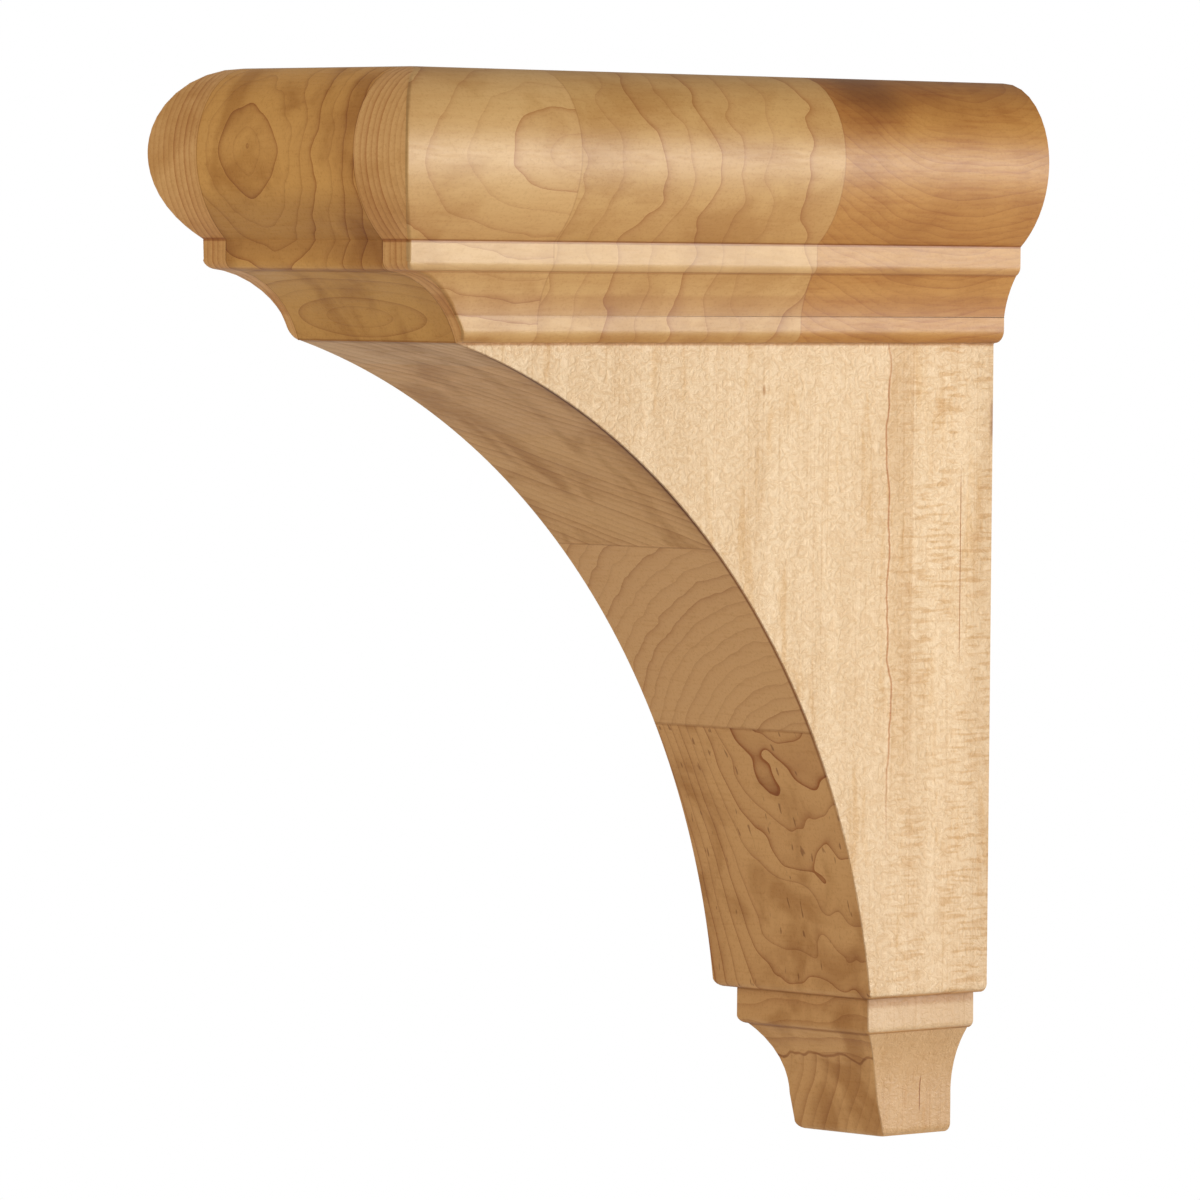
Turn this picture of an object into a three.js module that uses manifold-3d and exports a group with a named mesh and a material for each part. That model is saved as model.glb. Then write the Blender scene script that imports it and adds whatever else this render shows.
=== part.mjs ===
// A wooden corbel bracket that hangs on a wall and carries a shelf or a counter.
// Lengths are in millimetres and +Z is up. The wall face is the plane y = 0, the front looks
// along -Y, and the origin is in the middle of the wall face.
//
// The bracket is three pieces of wood. The body is the middle: its front is a concave arch
// between a crown moulding and a small foot. A moulding board is glued to each of its sides at
// the top, so that the crown runs round the front and both sides and meets in true mitres.

import * as THREE from 'three';
import { mergeVertices } from 'three/addons/utils/BufferGeometryUtils.js';
import Module from 'manifold-3d';

const wasm = await Module();
wasm.setup();

// The body between the foot and the crown
const bodyWidth = 73;
const bodyHeight = 212;
const archRadius = 253;
const archTopDepth = 238;
const archFootDepth = 54.6;
const bodyEdgeRound = 3;

// The crown, from its lowest edge up: bead, cove, band and roll
const beadHeight = 8.5;
const beadReach = 4.4;
const beadRound = 4.2;
const coveHeight = 13.5;
const coveRadius = 32;
const bandLipAtSide = 1.8;
const bandLipAtFront = 2.9;
const bandHeight = 9.3;
const bandRoundHeight = 3;
const bandRound = 3.3;
const bandReachAtSide = 11.5;
const bandReachAtFront = 30.4;
const rollReach = 12.4;
const rollLowerRadius = 35.5;
const rollUpperHeight = 26.2;
const rollUpperReach = 21;

// The foot, from the body down: band, cove and block
const footBandHeight = 12;
const footBandInsetAtSide = 6;
const footBandInsetAtFront = 5.4;
const footBandRound = 2.6;
const footCoveHeight = 23;
const footCoveRadius = 35;
const footBlockInsetAtSide = 10;
const footBlockInsetAtFront = 14.8;
const footBlockTaperAtFront = 2.4;
const footBlockHeight = 12;
const footEdgeRound = 3;

// How far a chord may stray from the curve that it stands for, and how far a rough block
// reaches past the faces that another cut gives it
const chordTolerance = 0.05;
const overrun = 20;

// Levels, from the underside of the foot
const footTop = footBlockHeight + footCoveHeight + footBandHeight;
const crownBottom = footTop + bodyHeight;
const coveTop = crownBottom + beadHeight + coveHeight;
const bandTop = coveTop + bandHeight;
const rollLowerHeight = Math.sqrt(rollLowerRadius ** 2 - (rollLowerRadius - rollReach) ** 2);
const rollWaist = bandTop + rollLowerHeight;
const crownTop = rollWaist + rollUpperHeight;
const wallFaceMiddle = crownTop / 2;

// An outline is a list of points (reach, height). It is drawn by a pen that goes up or down it.
function startPen(reach, height) {
  return [new THREE.Vector2(reach, height)];
}

function lineTo(pen, reach, height) {
  pen.push(new THREE.Vector2(reach, height));
}

// The steps that keep a stretch of a curve within the tolerance
function stepsFor(radius, angle) {
  const stepAngle = 2 * Math.acos(1 - chordTolerance / radius);
  return Math.max(2, Math.ceil(Math.abs(angle) / stepAngle));
}

// A stretch of a circle from the pen's last point to a new one. Its centre lies to the right
// of the way there if side is 1, and to the left if it is -1.
function arcTo(pen, reach, height, radius, side) {
  const start = pen[pen.length - 1];
  const end = new THREE.Vector2(reach, height);
  const chord = end.clone().sub(start);
  const rise = Math.sqrt(Math.max(0, radius ** 2 - chord.lengthSq() / 4));
  const toCentre = new THREE.Vector2(chord.y, -chord.x).setLength(rise * side);
  const centre = start.clone().add(end).multiplyScalar(0.5).add(toCentre);
  const startAngle = start.clone().sub(centre).angle();
  const endAngle = end.clone().sub(centre).angle();
  const turn = 2 * Math.asin(Math.min(1, chord.length() / (2 * radius)));
  const arc = new THREE.ArcCurve(centre.x, centre.y, radius, startAngle, endAngle, side === 1);
  const inner = arc.getPoints(stepsFor(radius, turn)).slice(1, -1);
  pen.push(...inner, end);
}

// The crown's profile above its cove, drawn upwards. It is the same at the front and sides:
// a band with a rounded lower edge, and a roll that swells past it and closes to a flat top.
function drawBandAndRoll(pen, bandFace) {
  arcTo(pen, bandFace, coveTop + bandRoundHeight, bandRound, -1);
  lineTo(pen, bandFace, bandTop);
  arcTo(pen, bandFace + rollReach, rollWaist, rollLowerRadius, -1);
  const rollTopStart = bandFace + rollReach - rollUpperReach;
  const upper = new THREE.EllipseCurve(
    rollTopStart, rollWaist, rollUpperReach, rollUpperHeight, 0, Math.PI / 2, false, 0);
  const steps = stepsFor(Math.max(rollUpperReach, rollUpperHeight), Math.PI / 2);
  pen.push(...upper.getPoints(steps).slice(1));
}

// The foot's profile, drawn upwards: a block with a rounded lower edge, a cove that sweeps out,
// a band with a rounded lower edge, and the step out under the body with the body's rounded edge.
function drawFoot(bodyFace, bandInset, blockInset, blockTaper) {
  const bandFace = bodyFace - bandInset;
  const blockFace = bandFace - blockInset;
  const coveBottom = footBlockHeight;
  const bandBottom = footBlockHeight + footCoveHeight;
  const lowestFace = blockFace - blockTaper;
  const pen = startPen(lowestFace - footEdgeRound, 0);
  arcTo(pen, lowestFace, footEdgeRound, footEdgeRound, -1);
  lineTo(pen, blockFace, coveBottom);
  arcTo(pen, bandFace - footBandRound, bandBottom, footCoveRadius, 1);
  arcTo(pen, bandFace, bandBottom + footBandRound, footBandRound, -1);
  lineTo(pen, bandFace, footTop);
  lineTo(pen, bodyFace - bodyEdgeRound, footTop);
  arcTo(pen, bodyFace, footTop + bodyEdgeRound, bodyEdgeRound, -1);
  return pen;
}

// The whole outline as the side shows it: the wall face, the foot, the arch and the crown
function frontOutline() {
  const pen = drawFoot(
    archFootDepth, footBandInsetAtFront, footBlockInsetAtFront, footBlockTaperAtFront);
  arcTo(pen, archTopDepth, crownBottom, archRadius, 1);
  const bandFace = archTopDepth + bandReachAtFront;
  arcTo(pen, bandFace - bandLipAtFront, coveTop, coveRadius, 1);
  drawBandAndRoll(pen, bandFace);
  lineTo(pen, 0, crownTop);
  lineTo(pen, 0, 0);
  return pen;
}

// Half of the body as the front shows it, from its middle plane to its flat side
function bodyHalfOutline() {
  const bodyFace = bodyWidth / 2;
  const pen = drawFoot(bodyFace, footBandInsetAtSide, footBlockInsetAtSide, 0);
  lineTo(pen, bodyFace, crownTop + overrun);
  pen.unshift(new THREE.Vector2(pen[0].x, -overrun));
  return pen;
}

// The section of a moulding board, from the body's flat side outwards
function boardOutline() {
  const glueFace = bodyWidth / 2;
  const beadFace = glueFace + beadReach;
  const beadTop = crownBottom + beadHeight;
  const bandFace = glueFace + bandReachAtSide;
  const pen = startPen(glueFace, crownBottom);
  lineTo(pen, beadFace - beadRound, crownBottom);
  arcTo(pen, beadFace, crownBottom + beadRound, beadRound, -1);
  lineTo(pen, beadFace, beadTop);
  arcTo(pen, bandFace - bandLipAtSide, coveTop, coveRadius, 1);
  drawBandAndRoll(pen, bandFace);
  lineTo(pen, bandFace + rollReach - rollUpperReach, crownTop + overrun);
  lineTo(pen, glueFace, crownTop + overrun);
  return pen;
}

// A closed mesh as a solid that can be cut, and back
function toSolid(geometry) {
  geometry.deleteAttribute('normal');
  geometry.deleteAttribute('uv');
  const merged = mergeVertices(geometry);
  const vertProperties = new Float32Array(merged.attributes.position.array);
  const triVerts = new Uint32Array(merged.index.array);
  return new wasm.Manifold(new wasm.Mesh({ numProp: 3, vertProperties, triVerts }));
}

function toGeometry(solid) {
  const mesh = solid.getMesh();
  const geometry = new THREE.BufferGeometry();
  geometry.setAttribute('position', new THREE.BufferAttribute(new Float32Array(mesh.vertProperties), 3));
  geometry.setIndex(new THREE.BufferAttribute(new Uint32Array(mesh.triVerts), 1));
  geometry.computeVertexNormals();
  return geometry;
}

// Runs an outline of the side view across the bracket, from right to left
function runAcross(outline, width) {
  const section = new THREE.Shape(outline);
  const geometry = new THREE.ExtrudeGeometry(section, { depth: width, bevelEnabled: false });
  const forward = new THREE.Vector3(0, -1, 0);
  const up = new THREE.Vector3(0, 0, 1);
  const left = new THREE.Vector3(-1, 0, 0);
  geometry.applyMatrix4(new THREE.Matrix4().makeBasis(forward, up, left));
  geometry.translate(width / 2, 0, 0);
  return toSolid(geometry);
}

// Runs an outline of the front view from behind the wall face out past the front
function runForward(outline, depth) {
  const section = new THREE.Shape(outline);
  const geometry = new THREE.ExtrudeGeometry(section, { depth, bevelEnabled: false });
  geometry.rotateX(Math.PI / 2);
  geometry.translate(0, overrun, 0);
  return toSolid(geometry);
}

function mirrored(outline) {
  return outline.map((point) => new THREE.Vector2(-point.x, point.y)).reverse();
}

// Each piece is what the two runs of cutters leave of it: one along the front's outline and
// one along its own outline seen from the front. That is also what mitres the corners.
const crownReach = bandReachAtSide + rollReach;
const totalWidth = bodyWidth + 2 * crownReach;
const totalDepth = archTopDepth + bandReachAtFront + rollReach;
const sideView = runAcross(frontOutline(), totalWidth + 2 * overrun);

function shapePiece(name, outline, material) {
  const blank = runForward(outline, totalDepth + 2 * overrun);
  const mesh = new THREE.Mesh(toGeometry(blank.intersect(sideView)), material);
  mesh.name = name;
  mesh.position.z = -wallFaceMiddle;
  return mesh;
}

const bodyWood = new THREE.MeshStandardMaterial({ color: 0xe3c08f, roughness: 0.55, metalness: 0 });
const boardWood = new THREE.MeshStandardMaterial({ color: 0xd0a672, roughness: 0.5, metalness: 0 });

const bodyRight = bodyHalfOutline();
const bodyLeft = mirrored(bodyRight);
const corbel = new THREE.Group();
corbel.add(shapePiece('body', [...bodyRight, ...bodyLeft], bodyWood));
corbel.add(shapePiece('side_moulding_right', boardOutline(), boardWood));
corbel.add(shapePiece('side_moulding_left', mirrored(boardOutline()), boardWood));

export default corbel;
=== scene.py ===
# %% [markdown]
# # A maple corbel bracket
# A corbel hangs on a wall and carries a shelf or a counter. This one is raw maple: a flat-sided body
# with a concave arch for a front, a small foot under it, and a rolled crown moulding that runs round
# the front and both sides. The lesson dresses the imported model, which sets every size: the pieces are
# made again with smooth curves and eased corners, and the wood gets its staves, growth rings, fine
# grain, glue lines and marks from nodes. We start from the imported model, because its box must hold.

import math

import bmesh
import bpy
from mathutils import Matrix, Vector


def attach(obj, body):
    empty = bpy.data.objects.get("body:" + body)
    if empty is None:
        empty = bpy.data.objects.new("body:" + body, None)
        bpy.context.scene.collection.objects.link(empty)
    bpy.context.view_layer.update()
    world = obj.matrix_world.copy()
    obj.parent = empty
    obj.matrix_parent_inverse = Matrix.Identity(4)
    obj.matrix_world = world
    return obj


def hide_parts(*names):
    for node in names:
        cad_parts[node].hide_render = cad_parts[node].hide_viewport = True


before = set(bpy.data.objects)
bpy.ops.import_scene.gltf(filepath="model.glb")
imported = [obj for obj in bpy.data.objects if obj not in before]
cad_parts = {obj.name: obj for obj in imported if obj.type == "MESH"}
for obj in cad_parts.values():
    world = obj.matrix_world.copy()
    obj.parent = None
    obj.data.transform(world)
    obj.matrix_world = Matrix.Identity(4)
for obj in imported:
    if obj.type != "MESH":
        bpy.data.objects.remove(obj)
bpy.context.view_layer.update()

# %% [markdown]
# ## The camera and the picture's tones
# The picture was taken from the right of the front with a long lens, just above the middle of the
# bracket. A long lens far away keeps upright edges nearly parallel, as here. We could aim a camera
# with a constraint, but a matrix from the three directions right, up and back is exact and fixed.
# The view transform is the plain one, so that a white backdrop stays white.

# %% Camera from the front right
AZIMUTH = math.radians(46.5)
ELEVATION = math.radians(2.212)
ROLL = math.radians(0.514)
CAMERA_DISTANCE = 2.78745
CAMERA_TARGET = Vector((0.0, -0.141343, 0.005388))
LENS_MM = 262.9
SENSOR_MM = 36.0
SHIFT_UP = -0.00067
FARTHEST_SEEN = 50.0

to_camera = Vector((
    math.sin(AZIMUTH) * math.cos(ELEVATION),
    -math.cos(AZIMUTH) * math.cos(ELEVATION),
    math.sin(ELEVATION)))
level_right = Vector((math.cos(AZIMUTH), math.sin(AZIMUTH), 0.0))
level_up = to_camera.cross(level_right)
camera_right = level_right * math.cos(ROLL) + level_up * math.sin(ROLL)
camera_up = level_up * math.cos(ROLL) - level_right * math.sin(ROLL)
turn = Matrix((camera_right, camera_up, to_camera)).transposed().to_4x4()

camera = bpy.data.objects.new("camera", bpy.data.cameras.new("camera"))
bpy.context.collection.objects.link(camera)
camera.matrix_world = Matrix.Translation(CAMERA_TARGET + to_camera * CAMERA_DISTANCE) @ turn
camera.data.lens = LENS_MM
camera.data.sensor_width = SENSOR_MM
camera.data.shift_y = SHIFT_UP
camera.data.clip_end = FARTHEST_SEEN
bpy.context.scene.camera = camera
bpy.context.scene.view_settings.view_transform = "Standard"
print("camera at", tuple(round(value, 3) for value in camera.matrix_world.translation))

# %% [markdown]
# ## The profiles
# A moulder's cutter leaves one profile all along a board, so the whole shape comes from two
# drawings: the front's profile as the side shows it, and the flat side's or moulding's profile as
# the front shows it. Each profile is a list of stretches, from the underside up: straight, or a part
# of a circle, or the quarter oval that closes the roll. At any height, the two profiles give a plain
# rectangle, and a stack of such rectangles is the piece. That makes the mitres true by itself.

# %% Sizes in millimetres
BODY_HALF_WIDTH = 36.5
BODY_HEIGHT = 212.0
ARCH_RADIUS = 253.0
ARCH_TOP_DEPTH = 238.0
ARCH_FOOT_DEPTH = 54.6
BODY_EDGE_ROUND = 3.0
BEAD_HEIGHT = 8.5
BEAD_REACH = 4.4
BEAD_ROUND = 4.2
COVE_HEIGHT = 13.5
COVE_RADIUS = 32.0
BAND_LIP_AT_SIDE = 1.8
BAND_LIP_AT_FRONT = 2.9
BAND_HEIGHT = 9.3
BAND_ROUND_HEIGHT = 3.0
BAND_ROUND = 3.3
BAND_REACH_AT_SIDE = 11.5
BAND_REACH_AT_FRONT = 30.4
ROLL_REACH = 12.4
ROLL_LOWER_RADIUS = 35.5
ROLL_UPPER_HEIGHT = 26.2
ROLL_UPPER_REACH = 21.0
FOOT_BAND_HEIGHT = 12.0
FOOT_BAND_INSET_AT_SIDE = 6.0
FOOT_BAND_INSET_AT_FRONT = 5.4
FOOT_BAND_ROUND = 2.6
FOOT_COVE_HEIGHT = 23.0
FOOT_COVE_RADIUS = 35.0
FOOT_BLOCK_INSET_AT_SIDE = 10.0
FOOT_BLOCK_INSET_AT_FRONT = 14.8
FOOT_BLOCK_TAPER_AT_FRONT = 2.4
FOOT_BLOCK_HEIGHT = 12.0
FOOT_EDGE_ROUND = 3.0

FOOT_TOP = FOOT_BLOCK_HEIGHT + FOOT_COVE_HEIGHT + FOOT_BAND_HEIGHT
CROWN_BOTTOM = FOOT_TOP + BODY_HEIGHT
COVE_TOP = CROWN_BOTTOM + BEAD_HEIGHT + COVE_HEIGHT
BAND_TOP = COVE_TOP + BAND_HEIGHT
ROLL_LOWER_HEIGHT = math.sqrt(ROLL_LOWER_RADIUS ** 2 - (ROLL_LOWER_RADIUS - ROLL_REACH) ** 2)
ROLL_WAIST = BAND_TOP + ROLL_LOWER_HEIGHT
CROWN_TOP = ROLL_WAIST + ROLL_UPPER_HEIGHT
WALL_FACE_MIDDLE = CROWN_TOP / 2
MM = 0.001
print("height in mm:", round(CROWN_TOP, 2))

# %% A profile as a list of stretches
STRAIGHT = "straight"
HOLLOW = 1
ROUND = -1
OVAL = "oval"


def start_profile(reach, height):
    return {"at": (reach, height), "stretches": []}


def add_stretch(profile, reach, height, shape=STRAIGHT, radius=0.0):
    """Carries the profile on to a new point. HOLLOW and ROUND are parts of a circle."""
    low_reach, low_height = profile["at"]
    stretch = {"low": low_height, "high": height, "from": low_reach, "to": reach, "shape": shape}
    if shape in (HOLLOW, ROUND):
        along = Vector((reach - low_reach, height - low_height))
        middle = Vector((low_reach + reach, low_height + height)) / 2
        rise = math.sqrt(max(0.0, radius ** 2 - along.length_squared / 4))
        outwards = Vector((along.y, -along.x)).normalized()
        stretch["centre"] = middle + outwards * rise * shape
        stretch["radius"] = radius
    profile["stretches"].append(stretch)
    profile["at"] = (reach, height)


def reach_on(stretch, height):
    """How far the profile reaches at a height within one stretch."""
    share = (height - stretch["low"]) / max(stretch["high"] - stretch["low"], 1e-9)
    if stretch["shape"] == OVAL:
        across = math.sqrt(max(0.0, 1 - share ** 2))
        return stretch["to"] + (stretch["from"] - stretch["to"]) * across
    if stretch["shape"] == STRAIGHT:
        return stretch["from"] + (stretch["to"] - stretch["from"]) * share
    away = height - stretch["centre"].y
    half_chord = math.sqrt(max(0.0, stretch["radius"] ** 2 - away ** 2))
    return stretch["centre"].x - stretch["shape"] * half_chord


# %% The three profiles
def add_band_and_roll(profile, band_face):
    add_stretch(profile, band_face, COVE_TOP + BAND_ROUND_HEIGHT, ROUND, BAND_ROUND)
    add_stretch(profile, band_face, BAND_TOP)
    add_stretch(profile, band_face + ROLL_REACH, ROLL_WAIST, ROUND, ROLL_LOWER_RADIUS)
    add_stretch(profile, band_face + ROLL_REACH - ROLL_UPPER_REACH, CROWN_TOP, OVAL)


def foot_profile(body_face, band_inset, block_inset, block_taper):
    band_face = body_face - band_inset
    block_face = band_face - block_inset
    band_bottom = FOOT_BLOCK_HEIGHT + FOOT_COVE_HEIGHT
    profile = start_profile(block_face - block_taper - FOOT_EDGE_ROUND, 0.0)
    add_stretch(profile, block_face - block_taper, FOOT_EDGE_ROUND, ROUND, FOOT_EDGE_ROUND)
    add_stretch(profile, block_face, FOOT_BLOCK_HEIGHT)
    add_stretch(profile, band_face - FOOT_BAND_ROUND, band_bottom, HOLLOW, FOOT_COVE_RADIUS)
    add_stretch(profile, band_face, band_bottom + FOOT_BAND_ROUND, ROUND, FOOT_BAND_ROUND)
    add_stretch(profile, band_face, FOOT_TOP)
    profile["at"] = (body_face - BODY_EDGE_ROUND, FOOT_TOP)
    add_stretch(profile, body_face, FOOT_TOP + BODY_EDGE_ROUND, ROUND, BODY_EDGE_ROUND)
    return profile


front_profile = foot_profile(
    ARCH_FOOT_DEPTH, FOOT_BAND_INSET_AT_FRONT, FOOT_BLOCK_INSET_AT_FRONT, FOOT_BLOCK_TAPER_AT_FRONT)
add_stretch(front_profile, ARCH_TOP_DEPTH, CROWN_BOTTOM, HOLLOW, ARCH_RADIUS)
front_band_face = ARCH_TOP_DEPTH + BAND_REACH_AT_FRONT
add_stretch(front_profile, front_band_face - BAND_LIP_AT_FRONT, COVE_TOP, HOLLOW, COVE_RADIUS)
add_band_and_roll(front_profile, front_band_face)

body_profile = foot_profile(
    BODY_HALF_WIDTH, FOOT_BAND_INSET_AT_SIDE, FOOT_BLOCK_INSET_AT_SIDE, 0.0)
add_stretch(body_profile, BODY_HALF_WIDTH, CROWN_TOP)

bead_face = BODY_HALF_WIDTH + BEAD_REACH
side_band_face = BODY_HALF_WIDTH + BAND_REACH_AT_SIDE
moulding_profile = start_profile(bead_face - BEAD_ROUND, CROWN_BOTTOM)
add_stretch(moulding_profile, bead_face, CROWN_BOTTOM + BEAD_ROUND, ROUND, BEAD_ROUND)
add_stretch(moulding_profile, bead_face, CROWN_BOTTOM + BEAD_HEIGHT)
add_stretch(moulding_profile, side_band_face - BAND_LIP_AT_SIDE, COVE_TOP, HOLLOW, COVE_RADIUS)
add_band_and_roll(moulding_profile, side_band_face)
named_profiles = {"front": front_profile, "body": body_profile, "moulding": moulding_profile}
for name, profile in named_profiles.items():
    print(name, "profile has", len(profile["stretches"]), "stretches")

# %% [markdown]
# ## From profiles to slices
# A stack of rectangles needs heights that suit both profiles: every corner of either profile, and
# enough heights between them that the curves look smooth. We could space the heights evenly, but a
# curve that turns level needs more of them near its end, so they crowd towards both ends.

# %% Slices that both profiles share
COARSEST_STEP = 2.4
FEWEST_STEPS = 8
SAME_HEIGHT = 1e-6
SAME_SLICE = 1e-5


def stretch_over(profile, height):
    for stretch in profile["stretches"]:
        if stretch["low"] < height < stretch["high"]:
            return stretch
    return None


def shared_slices(side_profile, bottom):
    """Heights with both reaches, from the bottom up; a ledge gives two slices at one height."""
    corners = set()
    for profile in (side_profile, front_profile):
        for stretch in profile["stretches"]:
            corners.update((stretch["low"], stretch["high"]))
    corners = sorted(corner for corner in corners if corner >= bottom - SAME_HEIGHT)
    slices = []
    for low, high in zip(corners, corners[1:]):
        if high - low < SAME_HEIGHT:
            continue
        middle = (low + high) / 2
        side_stretch = stretch_over(side_profile, middle)
        front_stretch = stretch_over(front_profile, middle)
        straight = side_stretch["shape"] == STRAIGHT and front_stretch["shape"] == STRAIGHT
        steps = 1 if straight else max(FEWEST_STEPS, math.ceil((high - low) / COARSEST_STEP))
        for step in range(steps + 1):
            height = low + (high - low) * (1 - math.cos(math.pi * step / steps)) / 2
            here = (height, reach_on(side_stretch, height), reach_on(front_stretch, height))
            same = slices and max(abs(a - b) for a, b in zip(here, slices[-1])) < SAME_SLICE
            if not same:
                slices.append(here)
    return slices


body_slices = shared_slices(body_profile, 0.0)
moulding_slices = shared_slices(moulding_profile, CROWN_BOTTOM)
print("slices: body", len(body_slices), "moulding", len(moulding_slices))

# %% [markdown]
# ## Raising a piece from its slices
# The first slice is a grid of one face. Then the top face is extruded, and the new corners are set to
# the next slice's rectangle, again and again, as a potter raises a pot ring by ring. A curve swept
# along a path could do the moulding, but not its mitred corner and flat end, so we stack instead.

# %% Raise a stack of rectangles
FIRST_SQUARE = 10.0 * MM


def level(height):
    """A height above the underside as a level in the object's own coordinates."""
    return height - WALL_FACE_MIDDLE


def set_rectangle(corners, left, right, reach, height):
    middle_x = sum(corner.co.x for corner in corners) / len(corners)
    middle_y = sum(corner.co.y for corner in corners) / len(corners)
    for corner in corners:
        at_right = corner.co.x > middle_x
        in_front = corner.co.y < middle_y
        corner.co = Vector((right if at_right else left, -reach if in_front else 0.0, height)) * MM


def raise_piece(slices, edges_at):
    """edges_at gives the left and right side of the piece from the side profile's reach."""
    bm = bmesh.new()
    bmesh.ops.create_grid(bm, x_segments=1, y_segments=1, size=FIRST_SQUARE)
    top = bm.faces[:][0]
    for number, (height, side_reach, front_reach) in enumerate(slices):
        if number > 0:
            raised = bmesh.ops.extrude_face_region(bm, geom=[top])["geom"]
            old_top = top
            top = [item for item in raised if isinstance(item, bmesh.types.BMFace)][0]
            if number > 1:
                bmesh.ops.delete(bm, geom=[old_top], context="FACES_ONLY")
        left, right = edges_at(side_reach)
        set_rectangle(top.verts[:], left, right, front_reach, level(height))
    bmesh.ops.recalc_face_normals(bm, faces=bm.faces[:])
    return bm


def count_open_edges(bm):
    return sum(1 for edge in bm.edges if len(edge.link_faces) != 2)


body_mesh = raise_piece(body_slices, lambda reach: (-reach, reach))
right_mesh = raise_piece(moulding_slices, lambda reach: (BODY_HALF_WIDTH, reach))
left_mesh = raise_piece(moulding_slices, lambda reach: (-reach, -BODY_HALF_WIDTH))
for name, bm in (("body", body_mesh), ("right moulding", right_mesh), ("left moulding", left_mesh)):
    print(name, "faces", len(bm.faces), "open edges", count_open_edges(bm))

# %% [markdown]
# ## Easing the corners
# A sander takes the knife edge off every corner of real woodwork, and the eased edge catches a thin
# line of light. The mitre of the crown is eased most, then the corner of the arch, and the back edge
# least. The glue line between the body and a moulding board stays sharp, because it was sanded flush
# after gluing.

# %% Bevel the upright corners
ARCH_EASE = 0.75 * MM
MITRE_EASE = 1.3 * MM
BACK_EASE = 0.4 * MM
EASE_SEGMENTS = 3
LEVEL_EDGE_WIDTH = 30.0 * MM
LEVEL_EDGE_DEPTH = 20.0 * MM
FRONT_STARTS = -10.0 * MM
TINY = 1e-6


def corner_edges(bm, wanted):
    """The edges that run up a corner of the stack and whose ends both pass the test."""
    chosen = []
    for edge in bm.edges:
        first, second = (vert.co for vert in edge.verts)
        wide = abs(first.x - second.x) > LEVEL_EDGE_WIDTH
        across = wide or abs(first.y - second.y) > LEVEL_EDGE_DEPTH
        if not across and wanted(first) and wanted(second):
            chosen.append(edge)
    return chosen


def ease(bm, edges, width):
    bmesh.ops.bevel(
        bm, geom=edges, offset=width, offset_type="OFFSET", segments=EASE_SEGMENTS,
        profile=0.5, affect="EDGES", clamp_overlap=False, material=-1)


crown_level = level(CROWN_BOTTOM) * MM
glue_plane = BODY_HALF_WIDTH * MM
front_of_body = corner_edges(body_mesh, lambda co: co.y < FRONT_STARTS and co.z < crown_level + TINY)
ease(body_mesh, front_of_body, ARCH_EASE)
back_of_body = corner_edges(body_mesh, lambda co: co.y > -TINY and co.z < crown_level + TINY)
ease(body_mesh, back_of_body, BACK_EASE)
for vert in body_mesh.verts:
    vert.co.y = min(vert.co.y, 0.0)
for bm in (right_mesh, left_mesh):
    mitre = corner_edges(bm, lambda co: co.y < FRONT_STARTS and abs(co.x) > glue_plane + 10 * TINY)
    ease(bm, mitre, MITRE_EASE)
print("body faces after easing:", len(body_mesh.faces), "open edges", count_open_edges(body_mesh))

# %% [markdown]
# ## Smooth shading with true flats
# Smooth shading makes the curves round, but it also bends the light on flat faces next to a small
# round. Edges that fold by more than a limit are marked sharp, and a weighted normal modifier lets
# the big flat faces keep their own direction.

# %% Turn a mesh into a piece of the bracket
SHARP_FOLD = math.radians(24)


def finish_piece(bm, name, node_name):
    for face in bm.faces:
        face.smooth = True
    for edge in bm.edges:
        edge.smooth = edge.calc_face_angle(0.0) < SHARP_FOLD
    mesh = bpy.data.meshes.new(name)
    bm.to_mesh(mesh)
    bm.free()
    piece = bpy.data.objects.new(name, mesh)
    bpy.context.collection.objects.link(piece)
    weighted = piece.modifiers.new("flats stay flat", "WEIGHTED_NORMAL")
    weighted.keep_sharp = True
    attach(piece, "root")
    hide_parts(node_name)
    return piece


body = finish_piece(body_mesh, "corbel_body", "body")
right_moulding = finish_piece(right_mesh, "crown_side_right", "side_moulding_right")
left_moulding = finish_piece(left_mesh, "crown_side_left", "side_moulding_left")
print("pieces:", body.name, right_moulding.name, left_moulding.name)

# %% [markdown]
# ## A short way to write node trees
# The wood's look is a long chain of small nodes. A picture of wood would be quick, but it would
# repeat, stretch on the roll and stop at the edges. Nodes work on the object's own coordinates, so
# the figure runs through the solid. This helper keeps each node to one line of code. A noise's three
# scales say how fine it is along x, y and z, and its offset only picks another stretch of it.

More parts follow.
